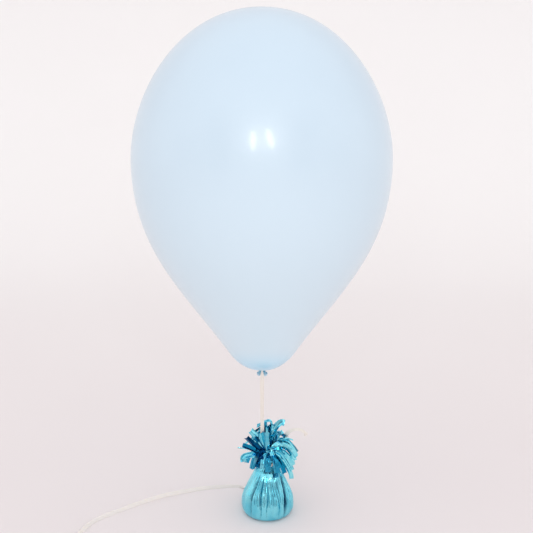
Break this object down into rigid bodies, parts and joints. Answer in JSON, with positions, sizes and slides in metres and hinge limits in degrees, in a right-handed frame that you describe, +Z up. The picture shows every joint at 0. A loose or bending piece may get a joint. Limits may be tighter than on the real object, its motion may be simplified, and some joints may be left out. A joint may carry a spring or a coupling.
{
  "type": "latex balloon",
  "caption": "Pear-shaped pale blue latex balloon floating on a taut cream curling ribbon tied to a pleated, foil-wrapped weight with a shredded plume.",
  "frame": {"origin": "on the floor, straight under the middle of the balloon", "axes": "+Z up, from the weight to the crown of the balloon; -Y towards the side that is seen first; -X towards the loose tail of ribbon"},
  "size_m": [0.3552, 0.2896, 0.577],
  "materials": {
    "latex": "satin, softly translucent",
    "latex_unstretched": "satin",
    "ribbon": "satin",
    "foil": "metallised film, mirror-like",
    "band": "clear",
    "cup_plastic": "matte",
    "plaster": "rough",
    "card": "plain"
  },
  "bodies": {
    "weight": {"weight_cup": "cup_plastic", "plaster_fill": "plaster", "base_disc": "card", "foil_wrap": "foil", "neck_band": "band", "fringe_ply_1": "foil", "fringe_ply_2": "foil", "fringe_ply_3": "foil", "fringe_ply_4": "foil", "ribbon_hitch_loop": "ribbon", "ribbon_hitch_knot": "ribbon", "ribbon_riser": "ribbon", "ribbon_short_end": "ribbon", "ribbon_tail": "ribbon", "ribbon_coil": "ribbon", "coil_tie": "ribbon"},
    "tether_foot": {"tether_bend_lower": "ribbon"},
    "tether_lower": {"tether_span_lower": "ribbon"},
    "tether_upper": {"tether_span_upper": "ribbon"},
    "tether_head": {"tether_bend_upper": "ribbon"},
    "balloon": {"balloon_envelope": "latex", "latex_knot": "latex_unstretched", "rolled_lip": "latex_unstretched", "ribbon_neck_loop": "ribbon", "ribbon_neck_knot": "ribbon", "tether_top": "ribbon"}
  },
  "joints": [
    {"name": "sway_fore_aft", "type": "hinge", "parent": "weight", "child": "tether_foot", "pos_m": [0, -0.0048, 0.116], "axis": [1, 0, 0], "range_deg": [-35, 35], "stiffness_Nm_per_rad": 0.062, "springref_deg": 0.48},
    {"name": "sway_sideways", "type": "hinge", "parent": "tether_foot", "child": "tether_lower", "pos_m": [0, -0.0048, 0.1216], "axis": [0, 1, 0], "range_deg": [-35, 35], "stiffness_Nm_per_rad": 0.062},
    {"name": "ribbon_twist", "type": "hinge", "parent": "tether_lower", "child": "tether_upper", "pos_m": [0, -0.0048, 0.1415], "axis": [0, 0, 1], "range_deg": [-180, 180], "stiffness_Nm_per_rad": 0.0015},
    {"name": "rock_fore_aft", "type": "hinge", "parent": "tether_upper", "child": "tether_head", "pos_m": [0, -0.0048, 0.1575], "axis": [1, 0, 0], "range_deg": [-20, 20], "stiffness_Nm_per_rad": 0.052, "springref_deg": 0.57},
    {"name": "rock_sideways", "type": "hinge", "parent": "tether_head", "child": "balloon", "pos_m": [0, -0.0048, 0.163], "axis": [0, 1, 0], "range_deg": [-20, 20], "stiffness_Nm_per_rad": 0.052}
  ]
}
